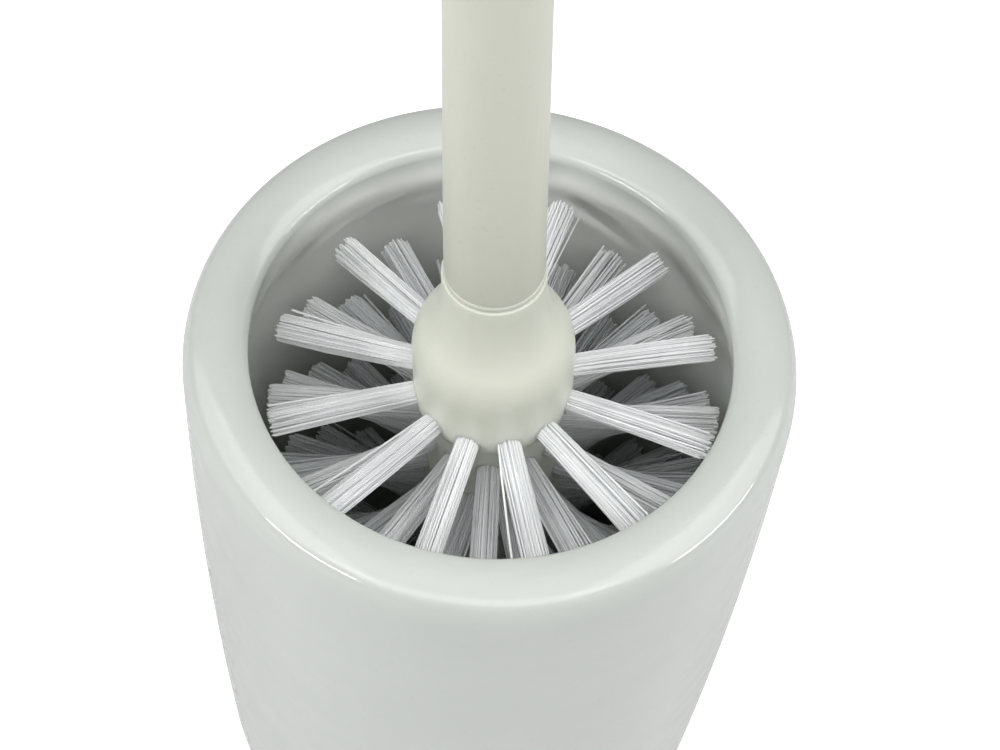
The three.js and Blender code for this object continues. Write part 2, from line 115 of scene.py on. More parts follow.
def bend(points, count):
    """Points of a Bezier curve: its control points blended again and again by the same share."""
    share = np.linspace(0, 1, count)[:, None, None]
    level = np.repeat(np.array(points, float)[None], count, axis=0)
    while level.shape[1] > 1:
        level = level[:, :-1] * (1 - share) + level[:, 1:] * share
    return level[:, 0]


def side_radius(z):
    """The cup's outer radius: a quadratic curve from the rim, through the middle, to the base."""
    t = (SIDE_TOP - z) / (SIDE_TOP - SIDE_BASE)
    return (1 - t) ** 2 * RIM_RADIUS + 2 * t * (1 - t) * SIDE_MIDDLE_RADIUS + t * t * BASE_RADIUS


def grid_faces(rows, columns, rows_close=False):
    """Four-sided faces between neighbouring rows of a grid whose columns close in a ring."""
    low = np.arange(rows * columns).reshape(rows, columns)
    high = np.roll(low, -1, axis=0)
    if not rows_close:
        low, high = low[:-1], high[:-1]
    corners = [low, np.roll(low, -1, axis=1), np.roll(high, -1, axis=1), high]
    return np.stack(corners, axis=-1).reshape(-1, 4)


def end_faces(pole, ring, at_start):
    """Triangles between a ring of points and the one point that closes it."""
    after = np.roll(ring, -1)
    pair = [after, ring] if at_start else [ring, after]
    return np.stack([np.full_like(ring, pole), *pair, np.full_like(ring, -1)], axis=-1)


def turned(profile, sides, rows_close=False):
    """A profile of (radius, height) turned about the axis: each profile point becomes a ring at
    (radius cos a, radius sin a, height). A profile that doesn't close starts and ends on the axis."""
    rings = profile if rows_close else profile[1:-1]
    angle = 2 * np.pi * np.arange(sides) / sides
    radius, height = rings[:, :1], np.repeat(rings[:, 1:], sides, axis=1)
    points = np.stack([radius * np.cos(angle), radius * np.sin(angle), height], axis=-1)
    points = points.reshape(-1, 3)
    faces = grid_faces(len(rings), sides, rows_close)
    if rows_close:
        return points, faces
    poles = np.array([[0, 0, profile[0, 1]], [0, 0, profile[-1, 1]]])
    first, last = np.arange(sides), np.arange(sides) + (len(rings) - 1) * sides
    ends = [end_faces(len(points), first, True), end_faces(len(points) + 1, last, False)]
    return np.vstack([points, poles]), np.vstack([faces, *ends])


def piece(name, points, faces, material, sharp=40):
    """A smooth-shaded mesh object at the origin. A triangle's fourth point number is -1. Edges
    that turn by more than the sharp angle, in degrees, stay crisp."""
    used = faces >= 0
    counts = used.sum(axis=1)
    mesh = bpy.data.meshes.new(name)
    mesh.vertices.add(len(points))
    mesh.vertices.foreach_set("co", (points * MM).ravel())
    mesh.loops.add(int(counts.sum()))
    mesh.loops.foreach_set("vertex_index", faces[used])
    mesh.polygons.add(len(faces))
    mesh.polygons.foreach_set("loop_start", np.cumsum(counts) - counts)
    mesh.polygons.foreach_set("use_smooth", np.ones(len(faces), bool))
    mesh.update(calc_edges=True)
    mesh.set_sharp_from_angle(angle=np.radians(sharp))
    mesh.materials.append(material)
    made = bpy.data.objects.new(name, mesh)
    bpy.context.scene.collection.objects.link(made)
    return made


def paint(obj, name, values):
    """Stores one number for each point of a piece, for its material to read."""
    attribute = obj.data.attributes.new(name, "FLOAT", "POINT")
    attribute.data.foreach_set("value", np.asarray(values, np.float32).ravel())


def ease(low, high, x):
    """Nought below low, one above high, and 3t^2 - 2t^3 in between."""
    t = np.clip((x - low) / (high - low), 0, 1)
    return t * t * (3 - 2 * t)


def node(tree, kind, inputs, **settings):
    """Adds a shader node with its settings. Each input takes a value, or the socket feeding it."""
    made = tree.nodes.new("ShaderNode" + kind)
    for name, value in settings.items():
        setattr(made, name, value)
    for name, value in inputs.items():
        if isinstance(value, bpy.types.NodeSocket):
            tree.links.new(value, made.inputs[name])
        else:
            made.inputs[name].default_value = value
    return made


def mixed(tree, factor, a, b):
    """The colour that runs from a to b as the factor goes from nought to one."""
    made = node(tree, "Mix", {}, data_type="RGBA")
    for index, value in ((0, factor), (6, a), (7, b)):
        if isinstance(value, bpy.types.NodeSocket):
            tree.links.new(value, made.inputs[index])
        else:
            made.inputs[index].default_value = value
    return made.outputs[2]


def spread(tree, value, low, high, to_low=0.0, to_high=1.0):
    """Maps a value from one range to another, and holds it within the second."""
    inputs = {"Value": value, "From Min": low, "From Max": high, "To Min": to_low, "To Max": to_high}
    return node(tree, "MapRange", inputs).outputs["Result"]


def unevenness_group():
    """What every moulded or glazed surface here has: a broad drift of tone, a fine ripple in the
    skin, and rare specks, each from its own noise over the given coordinates."""
    tree = bpy.data.node_groups.new("surface_unevenness", "ShaderNodeTree")
    tree.interface.new_socket("Coordinates", in_out="INPUT", socket_type="NodeSocketVector")
    for name in ("Broad Scale", "Fine Scale", "Speck Scale"):
        tree.interface.new_socket(name, in_out="INPUT", socket_type="NodeSocketFloat")
    for name in ("Broad", "Fine", "Speck"):
        tree.interface.new_socket(name, in_out="OUTPUT", socket_type="NodeSocketFloat")
    given = tree.nodes.new("NodeGroupInput").outputs
    kept = tree.nodes.new("NodeGroupOutput").inputs
    ranges = {"Broad": (0.3, 0.7, 3), "Fine": (0.25, 0.75, 2), "Speck": (0.73, 0.8, 0)}
    for name, (low, high, detail) in ranges.items():
        inputs = {"Vector": given["Coordinates"], "Scale": given[name + " Scale"], "Detail": detail}
        noise = node(tree, "TexNoise", inputs)
        tree.links.new(spread(tree, noise.outputs["Fac"], low, high), kept[name])
    return tree


surface_unevenness = unevenness_group()


def new_material(name, broad, fine, speck):
    """A material with its shader, its object coordinates and its own surface unevenness, whose
    patterns have the given numbers of waves to a metre."""
    material = bpy.data.materials.new(name)
    material.use_nodes = True
    tree = material.node_tree
    place = node(tree, "TexCoord", {}).outputs["Object"]
    uneven = node(tree, "Group", {}, node_tree=surface_unevenness)
    tree.links.new(place, uneven.inputs["Coordinates"])
    scales = {"Broad Scale": broad, "Fine Scale": fine, "Speck Scale": speck}
    for socket, value in scales.items():
        uneven.inputs[socket].default_value = value
    return material, tree, tree.nodes["Principled BSDF"], place, uneven.outputs


def relief(tree, shader, height, strength, distance):
    """Lets a height over the surface tilt the shader's normal."""
    bump = node(tree, "Bump", {"Height": height, "Strength": strength, "Distance": distance})
    tree.links.new(bump.outputs["Normal"], shader.inputs["Normal"])


def glaze_material():
    made = new_material("white_glaze", broad=34, fine=260, speck=900)
    material, tree, shader, place, uneven = made
    tone = mixed(tree, uneven["Broad"], GLAZE_WHITE, GLAZE_DEEP)
    faint = spread(tree, uneven["Speck"], 0, 1, to_high=0.1)
    tone = mixed(tree, faint, tone, GLAZE_SPECK)
    # Painted light: the well's wall is brightened toward the paler colour where the attribute is high
    well = node(tree, "Attribute", {}, attribute_name="well").outputs["Fac"]
    tone = mixed(tree, well, tone, GLAZE_WELL_PAINTED_LIGHT)
    bare = node(tree, "Attribute", {}, attribute_name="bare").outputs["Fac"]
    tree.links.new(mixed(tree, bare, tone, BARE_CLAY), shader.inputs["Base Color"])
    gloss = spread(tree, uneven["Fine"], 0, 1, *GLAZE_ROUGHNESS)
    rough = node(tree, "Math", {0: gloss, 1: bare}, operation="ADD").outputs[0]
    tree.links.new(rough, shader.inputs["Roughness"])
    ripple = node(tree, "TexNoise", {"Vector": place, "Scale": 85, "Detail": 1}).outputs["Fac"]
    grain = spread(tree, uneven["Fine"], 0, 1, to_high=0.12)
    height = node(tree, "Math", {0: ripple, 1: grain}, operation="ADD").outputs[0]
    relief(tree, shader, height, strength=0.22, distance=0.0006)
    shader.inputs["IOR"].default_value = 1.52
    shader.inputs["Subsurface Weight"].default_value = 0.12
    shader.inputs["Subsurface Radius"].default_value = (1.0, 0.9, 0.8)
    shader.inputs["Subsurface Scale"].default_value = 0.0015
    return material


def cup_profile():
    """The cup's section: under the foot ring, up the side, over the rim and down the well."""
    lip_z = RIM_Z - LIP_DEPTH
    round_z = FLOOR_Z + FLOOR_ROUND
    mouth_z = crown_end - MOUTH_ROUND * slope_up
    lip_middle = (mouth_z + lip_z) / 2
    lip_radius = side_radius(lip_z) - WALL
    heights = np.linspace(lip_z, round_z, 26)[1:]
    wall = np.stack([side_radius(heights) - WALL, heights], axis=-1)
    inner = wall[-1, 0] - FLOOR_ROUND
    recess_round = FOOT_RECESS / 2
    side_middle = (SIDE_MIDDLE_RADIUS, (SIDE_TOP + SIDE_BASE) / 2)
    side_ends = (BASE_RADIUS, SIDE_BASE), (RIM_RADIUS, SIDE_TOP)
    edge_centre = (edge_radius, SIDE_TOP + edge_rise)
    crown = [
        (crown_start, crown_end),
        (crown_start - crown_width / 2, crown_end + crown_bend),
        (crown_start - crown_width, crown_end),
    ]
    lip_bends = [(MOUTH_RADIUS, lip_middle), (lip_radius, lip_middle), (lip_radius, lip_z)]
    ends = [0, CUP_FOOT + FOOT_RECESS], [0, FLOOR_Z]
    return np.vstack([
        ends[0],
        [FOOT_INNER - 3 * recess_round, CUP_FOOT + FOOT_RECESS],
        arc((FOOT_INNER - recess_round, CUP_FOOT + recess_round), recess_round, 90, 0, 5),
        arc((FOOT_INNER + FOOT_EDGE_ROUND, CUP_FOOT + FOOT_EDGE_ROUND), FOOT_EDGE_ROUND, 180, 270, 4),
        [FOOT_OUTER - FOOT_OUTER_FLAT, CUP_FOOT],
        arc((FOOT_OUTER, CUP_FOOT + BASE_ROUND), BASE_ROUND, -90, -np.degrees(BASE_SLOPE), 22),
        bend([side_ends[0], side_middle, side_ends[1]], 40)[1:],
        arc((ease_radius, SIDE_TOP), RIM_EASE_ROUND, 0, 90 - RIM_EDGE_END, 12)[1:],
        arc(edge_centre, RIM_EDGE_ROUND, 90 - RIM_EDGE_END, 90 - RIM_SLOPE, 10)[1:],
        bend(crown, 22)[1:],
        arc((MOUTH_RADIUS + MOUTH_ROUND, mouth_z), MOUTH_ROUND, 90 + RIM_SLOPE, 180, 14)[1:],
        bend([(MOUTH_RADIUS, mouth_z), *lip_bends], 20)[1:],
        wall,
        arc((inner, round_z), FLOOR_ROUND, 0, -90, 14)[1:],
        ends[1],
    ])


cup_points, cup_faces = turned(cup_profile(), CUP_SIDES)
around = np.arctan2(cup_points[:, 1], cup_points[:, 0])
up_the_side = cup_points[:, 2:] / RIM_Z
three_lobes = THREE_LOBE_SHARE * np.cos(3 * around + THREE_LOBE_TURN)
warp = np.cos(2 * around + OVAL_TURN) + three_lobes
most = 1 + THREE_LOBE_SHARE
inward = OUT_OF_ROUND / RIM_RADIUS * up_the_side * (most + warp[:, None]) / (2 * most)
cup_points[:, :2] *= 1 - inward
holder = piece("holder_cup_glazed", cup_points, cup_faces, glaze_material())
paint(holder, "bare", 1 - ease(*BARE_ENDS, cup_points[:, 2] - CUP_FOOT))
# Painted light: the well's wall is painted paler from just below the rim, fading out deeper down
depth = RIM_Z - cup_points[:, 2]
painted_well_light = ease(*WELL_LIGHT_STARTS, depth) * (1 - ease(*WELL_LIGHT_ENDS, depth))
inside = np.hypot(cup_points[:, 0], cup_points[:, 1]) < side_radius(cup_points[:, 2]) - WALL / 2
paint(holder, "well", painted_well_light * inside * (cup_points[:, 2] > FLOOR_Z - FOOT_RECESS))
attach(holder, "holder")
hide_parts("holder_cup")


# --- Foot pads ------------------------------------------------------------------------
# Three small buttons of pale rubber, moulded with a rounded edge and a dimple underneath,
# and glued into seats in the foot ring so that the cup doesn't slide or scratch the floor.
PAD_EDGE = 0.35
PAD_DIMPLE = 0.22
PAD_DIMPLE_FLAT = 0.4  # shares of the pad's radius
PAD_DIMPLE_REACH = 0.55
PAD_SIDES = 40
RUBBER_PALE = (0.60, 0.61, 0.58, 1)
RUBBER_DULL = (0.50, 0.51, 0.49, 1)
RUBBER_ROUGHNESS = (0.62, 0.82)


def rubber_material():
    material, tree, shader, _, uneven = new_material("pad_rubber", broad=180, fine=2600, speck=1900)
    tone = mixed(tree, uneven["Broad"], RUBBER_PALE, RUBBER_DULL)
    tree.links.new(tone, shader.inputs["Base Color"])
    rough = spread(tree, uneven["Fine"], 0, 1, *RUBBER_ROUGHNESS)
    tree.links.new(rough, shader.inputs["Roughness"])
    relief(tree, shader, uneven["Fine"], strength=0.3, distance=0.0001)
    shader.inputs["Specular IOR Level"].default_value = 0.35
    return material


pad_rubber = rubber_material()
for number in (1, 2, 3):
    low, high = (np.array(corner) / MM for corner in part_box(f"foot_pad_{number}"))
    middle, pad_radius = (low + high) / 2, (high[0] - low[0]) / 2
    dimple_flat, dimple_end = pad_radius * PAD_DIMPLE_FLAT, pad_radius * PAD_DIMPLE_REACH
    dimple = bend([(0, PAD_DIMPLE), (dimple_flat, PAD_DIMPLE), (dimple_end, 0)], 8)
    lower = arc((pad_radius - PAD_EDGE, PAD_EDGE), PAD_EDGE, -90, 0, 6)
    upper = arc((pad_radius - PAD_EDGE, high[2] - PAD_EDGE), PAD_EDGE, 0, 90, 6)
    outline = np.vstack([dimple, lower, upper, [0, high[2]]])
    pad_points, pad_faces = turned(outline, PAD_SIDES)
    pad_points[:, :2] += middle[:2]
    pad = piece(f"foot_pad_{number}_moulded", pad_points, pad_faces, pad_rubber)
    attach(pad, "holder")
    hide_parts(f"foot_pad_{number}")


# --- Brush head -----------------------------------------------------------------------
# One injection moulding in natural polypropylene: a long core drilled for the tufts, a bulb
# that sheds drips, a collar for the handle, and a threaded stud inside the handle.
# Heights on the brush are measured along its own axis, from the middle of the seal ring.
joints = {joint["name"]: joint for joint in frame["joints"]}
brush_axis = Vector(joints["brush_lift"]["axis"])
brush_turn = np.array(Vector((0, 0, 1)).rotation_difference(brush_axis).to_matrix())
brush_middle = np.mean([np.array(corner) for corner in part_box("seal_ring")], axis=0) / MM
CORE_RADIUS = 12.6
BULB_RADIUS = 14.6
BULB_RISE = 9.8
BULB_SHOULDER = 31.8
SKIRT_RADIUS = 14.4
SKIRT_START = 1.7
SKIRT_DROP = 5.2
COLLAR_RADIUS = 9.25
COLLAR_TOP = -0.75
COLLAR_BLEND = 9.2
COLLAR_EDGE = 0.25
FIRST_ROW = -34.75
SECOND_ROW = FIRST_ROW - 12.6
ROW_PITCH = 11.2
ROW_COUNT = 8
LAST_ROW = SECOND_ROW - (ROW_COUNT - 2) * ROW_PITCH
END_CENTRE = LAST_ROW - 4
TUFTS_PER_ROW = 12
FIRST_TUFT = np.radians(0.74)
FIRST_ROW_DROOP = np.radians(5.5)
STUD_RADIUS = 4.2
STUD_TOP = COLLAR_TOP + 16
THREAD_PITCH = 3
THREAD_RIDGE = 0.9
THREAD_FADE = 1.2  # height over which the ridge runs out at each end
THREAD_LEAST = 0.1  # share of the ridge left at its very ends
THREAD_START = 2.5  # above the collar
THREAD_STOP = 1.5  # below the stud's top
STUD_FILLET = 0.5
STUD_CHAMFER = 0.8
CORE_SIDES = 144
SOCKET_RADIUS = 2.3
SOCKET_LIP = 0.22
SOCKET_LIP_RISE = 0.7  # how far the lip stands out, as a share of its width
SHADE_COMES = (-4, 0)  # heights over the first row where the sockets' shade comes and goes
SHADE_GOES = (2.5, 6.5)
SOCKET_SHADE = 0.4
SHADE_LINE_RISE = 3.6  # a faint line of painted shade where the moulding thickens over the sockets
SHADE_LINE_WIDTH = 0.5
SHADE_LINE = 0.35
SHADE_TOP = 8
NATURAL_PLASTIC = (0.685, 0.70, 0.61, 1)
PLASTIC_THICK = (0.655, 0.67, 0.59, 1)
# Painted shade: the darker colour where the first row's sockets show through the translucent bulb
PLASTIC_SOCKET_SHADE = (0.55, 0.575, 0.52, 1)
HEAD_ROUGHNESS = (0.3, 0.4)


def on_brush(points):
    """Points given along and around the brush's axis, moved to where the brush stands."""
    return points @ brush_turn.T + brush_middle


def swept(centres, across, upward, radii, sides):
    """Round rods along many paths at once: at each path point, a ring of the given radius in the
    plane of the two directions there, with its two ends closed to a point."""
    rods, rings = centres.shape[:2]
    angle = 2 * np.pi * np.arange(sides) / sides
    cosine, sine = np.cos(angle)[:, None], np.sin(angle)[:, None]
    circle = across[:, :, None] * cosine + upward[:, :, None] * sine
    points = centres[:, :, None] + radii[..., None, None] * circle
    points = np.concatenate([points.reshape(rods, -1, 3), centres[:, [0, -1]]], axis=1)
    first, last = np.arange(sides), np.arange(sides) + (rings - 1) * sides
    ends = [end_faces(rings * sides, first, True), end_faces(rings * sides + 1, last, False)]
    one = np.vstack([grid_faces(rings, sides), *ends])
    offset = np.arange(rods)[:, None, None] * points.shape[1]
    faces = np.where(one < 0, -1, one + offset)
    return points.reshape(-1, 3), faces.reshape(-1, 4)


def joined(*parts):
    """Several pairs of points and faces as one pair."""
    starts = np.cumsum([0] + [len(points) for points, faces in parts[:-1]])
    faces = [np.where(f < 0, -1, f + start) for (p, f), start in zip(parts, starts)]
    return np.vstack([points for points, faces in parts]), np.vstack(faces)


def core_profile():
    """The head's section, from the rounded end up the core, over the bulb to the stud's top."""
    bulb = FIRST_ROW + BULB_RISE
    skirt_end = FIRST_ROW - SKIRT_DROP
    shoulder = arc((0, bulb), BULB_RADIUS, 0, BULB_SHOULDER, 14)
    slope = np.tan(np.radians(BULB_SHOULDER))
    turn = shoulder[-1, 1] + (shoulder[-1, 0] - COLLAR_RADIUS) / slope
    skirt_start = FIRST_ROW - SKIRT_START
    skirt = [(CORE_RADIUS, skirt_end), (SKIRT_RADIUS, skirt_end), (SKIRT_RADIUS, skirt_start)]
    neck = [shoulder[-1], (COLLAR_RADIUS, turn), (COLLAR_RADIUS, turn + COLLAR_BLEND)]
    heights = np.linspace(END_CENTRE, skirt_end, 30)[1:-1]
    edge = COLLAR_TOP - COLLAR_EDGE
    return np.vstack([
        arc((0, END_CENTRE), CORE_RADIUS, -90, 0, 16),
        np.stack([np.full_like(heights, CORE_RADIUS), heights], axis=-1),
        bend(skirt, 10),
        shoulder,
        bend(neck, 18)[1:],
        arc((COLLAR_RADIUS - COLLAR_EDGE, edge), COLLAR_EDGE, 0, 90, 5),
        [STUD_RADIUS + STUD_FILLET, COLLAR_TOP],
        [STUD_RADIUS, COLLAR_TOP + STUD_FILLET],
        [STUD_RADIUS, STUD_TOP - STUD_CHAMFER],
        [STUD_RADIUS - STUD_CHAMFER, STUD_TOP],
        [0, STUD_TOP],
    ])


def thread_ridge():
    """A round ridge along a right-hand helix on the stud, running out to nothing at each end."""
    height = np.linspace(COLLAR_TOP + THREAD_START, STUD_TOP - THREAD_STOP, 130)
    angle = 2 * np.pi * (height - COLLAR_TOP) / THREAD_PITCH
    outward = np.stack([np.cos(angle), np.sin(angle), 0 * angle], axis=-1)
    centres = outward * STUD_RADIUS + height[:, None] * [0, 0, 1]
    fade = ease(0, THREAD_FADE, height - height[0]) * ease(0, THREAD_FADE, height[-1] - height)
    down = np.tile([0.0, 0.0, -1.0], (len(height), 1))
    radii = THREAD_RIDGE * (THREAD_LEAST + (1 - THREAD_LEAST) * fade)
    return swept(centres[None], outward[None], down[None], radii[None], 10)


def row_places(row):
    """Azimuths, polar angles from straight up, and height of one row's tufts."""
    turn = (np.arange(TUFTS_PER_ROW) + (row % 2) / 2) * 2 * np.pi / TUFTS_PER_ROW
    azimuth = FIRST_TUFT + turn
    droop = FIRST_ROW_DROOP if row == 1 else 0
    height = FIRST_ROW if row == 1 else SECOND_ROW - (row - 2) * ROW_PITCH
    return azimuth, np.full_like(azimuth, np.pi / 2 + droop), height


def socket_lips(row, outline):
    """A low moulded lip round each of a row's sockets: a small ring bent onto the core, so its
    points lie at the core's own radius for their height."""
    azimuth, polar, height = row_places(row)
    round_it = 2 * np.pi * np.arange(28) / 28
    section = 2 * np.pi * np.arange(8) / 8
    reach = SOCKET_RADIUS + SOCKET_LIP * np.cos(section)[None]
    sideways = reach * np.sin(round_it)[:, None]
    level = height + CORE_RADIUS / np.tan(polar[0]) + reach * np.cos(round_it)[:, None]
    out = np.interp(level, outline[:, 1], outline[:, 0])
    out = np.sqrt(out**2 - sideways**2) + SOCKET_LIP * np.sin(section)[None] * SOCKET_LIP_RISE
    c, s = np.cos(azimuth)[:, None, None], np.sin(azimuth)[:, None, None]
    points = np.stack([out * c - sideways * s, out * s + sideways * c, level + 0 * c], axis=-1)
    one = grid_faces(len(round_it), len(section), rows_close=True)
    faces = one + np.arange(len(azimuth))[:, None, None] * len(round_it) * len(section)
    return points.reshape(-1, 3), faces.reshape(-1, 4)


def head_material():
    material, tree, shader, _, uneven = new_material("natural_plastic", broad=55, fine=900, speck=700)
    tone = mixed(tree, uneven["Broad"], NATURAL_PLASTIC, PLASTIC_THICK)
    # Painted shade: darker over the first row's sockets and along a faint line above them
    shade = node(tree, "Attribute", {}, attribute_name="socket_shade").outputs["Fac"]
    tone = mixed(tree, shade, tone, PLASTIC_SOCKET_SHADE)
    tree.links.new(tone, shader.inputs["Base Color"])
    rough = spread(tree, uneven["Fine"], 0, 1, *HEAD_ROUGHNESS)
    tree.links.new(rough, shader.inputs["Roughness"])
    relief(tree, shader, uneven["Fine"], strength=0.12, distance=0.0002)
    shader.inputs["Subsurface Weight"].default_value = 0.45
    shader.inputs["Subsurface Radius"].default_value = (1.0, 0.95, 0.75)
    shader.inputs["Subsurface Scale"].default_value = 0.004
    shader.inputs["IOR"].default_value = 1.49
    return material


head_outline = core_profile()
core_wall = head_outline[1 : np.argmax(head_outline[:, 1] > FIRST_ROW + BULB_RISE)]
lips = [socket_lips(row, core_wall) for row in range(1, ROW_COUNT + 1)]
head_points, head_faces = joined(turned(head_outline, CORE_SIDES), thread_ridge(), *lips)
head = piece("head_core_moulded", on_brush(head_points), head_faces, head_material())
# Painted shade: darker bands over the first row's sockets, where they show through the translucent
# bulb, and a faint shade line above them
socket_turn = np.arctan2(head_points[:, 1], head_points[:, 0]) - row_places(1)[0][0]
band = (0.5 + 0.5 * np.cos(TUFTS_PER_ROW * socket_turn)) ** 2
rise = head_points[:, 2] - FIRST_ROW
window = ease(*SHADE_COMES, rise) * (1 - ease(*SHADE_GOES, rise))
line = np.exp(-(((rise - SHADE_LINE_RISE) / SHADE_LINE_WIDTH) ** 2)) * SHADE_LINE
shade = np.clip(band * window * SOCKET_SHADE + line, 0, 1) * (rise < SHADE_TOP)
paint(head, "socket_shade", shade)
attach(head, "brush_head")
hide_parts("head_core")


# --- Tufts ----------------------------------------------------------------------------
# Bundles of crimp-free nylon filament, folded and stapled into the head's sockets and then
# cut to length, so the ends are a little ragged and a few filaments stray.
FILAMENTS = 140
FILAMENT_RADIUS = 0.2
FILAMENT_SIDES = 5
TUFT_START = 10.2
TUFT_ROOT = 1.95
TUFT_TIP = 2.45
TUFT_REACH = 41.0
WALL_CLEARANCE = 0.8
END_REACH = 29.6
END_RINGS = ((8, 62), (5, 28), (1, 0))  # how many, and degrees from straight down
END_SEED = 100
PATH_SHARES = np.array([0, 0.35, 0.7, 0.985, 1])  # along a filament, from its root to its cut
PATH_RADII = np.array([1, 1, 1, 1, 0.62])
GOLDEN_TURN = np.pi * (3 - 5**0.5)  # spreads any number of points evenly over a disc
TIP_WANDER = 0.11
STRAY_WANDER = 1.0
STRAY_SHARE = 0.05
TUFT_LEAN = 0.3
FILAMENT_BOW = 0.12
CUT_LENGTH = -0.35
CUT_SPREAD = 0.4
CUT_LIMITS = (-1.6, 0.3)
THICKNESS_SPREAD = (0.9, 1.08)
TONE_SPREAD = 0.35
NYLON_ROUGHNESS = (0.32, 0.48)
NYLON_BRIGHT = (0.95, 0.96, 0.965, 1)
# The grey that both the filaments' random tone and the deeper rows' painted shade lean toward
NYLON_GREY_AND_SHADE = (0.52, 0.55, 0.57, 1)
ROW_PAINTED_SHADES = (0, 0.1, 0.35, 0.5)  # painted shade of each row, greyer deeper in the cup, from the top; the last goes on down


def nylon_material():
    material, tree, shader, _, uneven = new_material("tuft_nylon", broad=160, fine=2200, speck=3000)
    # Each filament's random tone plus its row's painted shade
    tone = node(tree, "Attribute", {}, attribute_name="filament_tone_and_shade").outputs["Fac"]
    tint = mixed(tree, tone, NYLON_BRIGHT, NYLON_GREY_AND_SHADE)
    faint = spread(tree, uneven["Broad"], 0, 1, to_high=0.25)
    tree.links.new(mixed(tree, faint, tint, NYLON_GREY_AND_SHADE), shader.inputs["Base Color"])
    rough = spread(tree, uneven["Fine"], 0, 1, *NYLON_ROUGHNESS)
    tree.links.new(rough, shader.inputs["Roughness"])
    shader.inputs["Subsurface Weight"].default_value = 0.5
    shader.inputs["Subsurface Radius"].default_value = (1.0, 1.0, 1.0)
    shader.inputs["Subsurface Scale"].default_value = 0.0012
    shader.inputs["IOR"].default_value = 1.53
    return material


def row_reach(height):
    """How far a row's tufts reach: to their cut length, or short of the cup's wall."""
    x, y, z = on_brush(np.array([0, 0, height]))
    return min(TUFT_REACH, side_radius(z) - WALL - np.hypot(x, y) - WALL_CLEARANCE)


def tuft_rods(azimuth, polar, height, reach, shade, seed):
    """Filaments of one row of tufts. In each tuft they start at points spread evenly over a small
    disc, run along the tuft's direction with a slight bow, and end on a wider, ragged disc."""
    random = np.random.default_rng(seed)
    tufts = len(azimuth)
    flat = np.stack([np.cos(azimuth), np.sin(azimuth), 0 * azimuth], axis=-1)
    aim = flat * np.sin(polar)[:, None] + np.cos(polar)[:, None] * [0, 0, 1]
    side = np.stack([-np.sin(azimuth), np.cos(azimuth), 0 * azimuth], axis=-1)
    rise = np.cross(aim, side)
    number = np.arange(FILAMENTS) + 0.5
    spiral = number * GOLDEN_TURN + random.uniform(0, 2 * np.pi, (tufts, 1))
    disc = np.stack([np.cos(spiral), np.sin(spiral)], axis=-1)
    disc = disc * np.sqrt(number / FILAMENTS)[:, None]
    wander = random.normal(0, TIP_WANDER, disc.shape)
    stray = random.random((tufts, FILAMENTS, 1)) < STRAY_SHARE
    wander += stray * random.normal(0, STRAY_WANDER, disc.shape)
    lean = random.normal(0, TUFT_LEAN, (tufts, 1, 2))
    tip = disc * TUFT_TIP + wander + lean
    bow = random.normal(0, FILAMENT_BOW, disc.shape)
    bow = bow + random.normal(0, FILAMENT_BOW, (tufts, 1, 2))
    cut = np.clip(random.normal(CUT_LENGTH, CUT_SPREAD, (tufts, FILAMENTS)), *CUT_LIMITS)
    along = TUFT_START + PATH_SHARES * (reach - TUFT_START + cut)[..., None]
    blend = PATH_SHARES[:, None]
    offset = disc[:, :, None] * TUFT_ROOT * (1 - blend) + tip[:, :, None] * blend
    offset += bow[:, :, None] * np.sin(np.pi * blend)
    axes = [vectors[:, None, None, :] for vectors in (aim, side, rise)]
    centres = along[..., None] * axes[0] + offset[..., :1] * axes[1] + offset[..., 1:] * axes[2]
    spots = len(PATH_SHARES)
    centres = (centres + [0, 0, height]).reshape(-1, spots, 3)
    across, upward = (np.broadcast_to(a, (tufts, FILAMENTS, spots, 3)) for a in axes[1:])
    thick = FILAMENT_RADIUS * random.uniform(*THICKNESS_SPREAD, (tufts * FILAMENTS, 1))
    radii = thick * PATH_RADII
    shape = centres.shape
    rods = swept(centres, across.reshape(shape), upward.reshape(shape), radii, FILAMENT_SIDES)
    # Painted shade for the deeper rows, plus each filament's random tone
    tone = shade + TONE_SPREAD * random.random(tufts * FILAMENTS)
    tone = np.repeat(tone, spots * FILAMENT_SIDES + 2)
    return rods, tone


tuft_nylon = nylon_material()


def tuft_piece(name, parts, nodes):
    """One piece made of rows of filaments, standing for the given CAD nodes."""
    points, faces = joined(*[rods for rods, tone in parts])
    tufts = piece(name, on_brush(points), faces, tuft_nylon, sharp=60)
    paint(tufts, "filament_tone_and_shade", np.concatenate([tone for rods, tone in parts]))
    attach(tufts, "brush_head")
    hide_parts(*nodes)


def row_rods(row):
    azimuth, polar, height = row_places(row)
    shade = ROW_PAINTED_SHADES[min(row, len(ROW_PAINTED_SHADES)) - 1]
    return tuft_rods(azimuth, polar, height, row_reach(height), shade, seed=row)


for row in range(1, 5):
    row_nodes = [f"tuft_row{row}_{number:02d}" for number in range(1, TUFTS_PER_ROW + 1)]
    tuft_piece(f"filaments_row_{row}", [row_rods(row)], row_nodes)
for row in (5, 7):
    row_node = f"tuft_rows_{row}_to_{row + 1}"
    tuft_piece(f"filaments_rows_{row}_and_{row + 1}", [row_rods(row), row_rods(row + 1)], [row_node])
end_parts = []
for count, degrees in END_RINGS:
    azimuth = FIRST_TUFT + 2 * np.pi * np.arange(count) / count
    polar = np.full(count, np.pi - np.radians(degrees))
    seed = END_SEED + degrees
    end_parts.append(tuft_rods(azimuth, polar, END_CENTRE, END_REACH, ROW_PAINTED_SHADES[-1], seed))
tuft_piece("filaments_rounded_end", end_parts, ["tufts_rounded_end"])


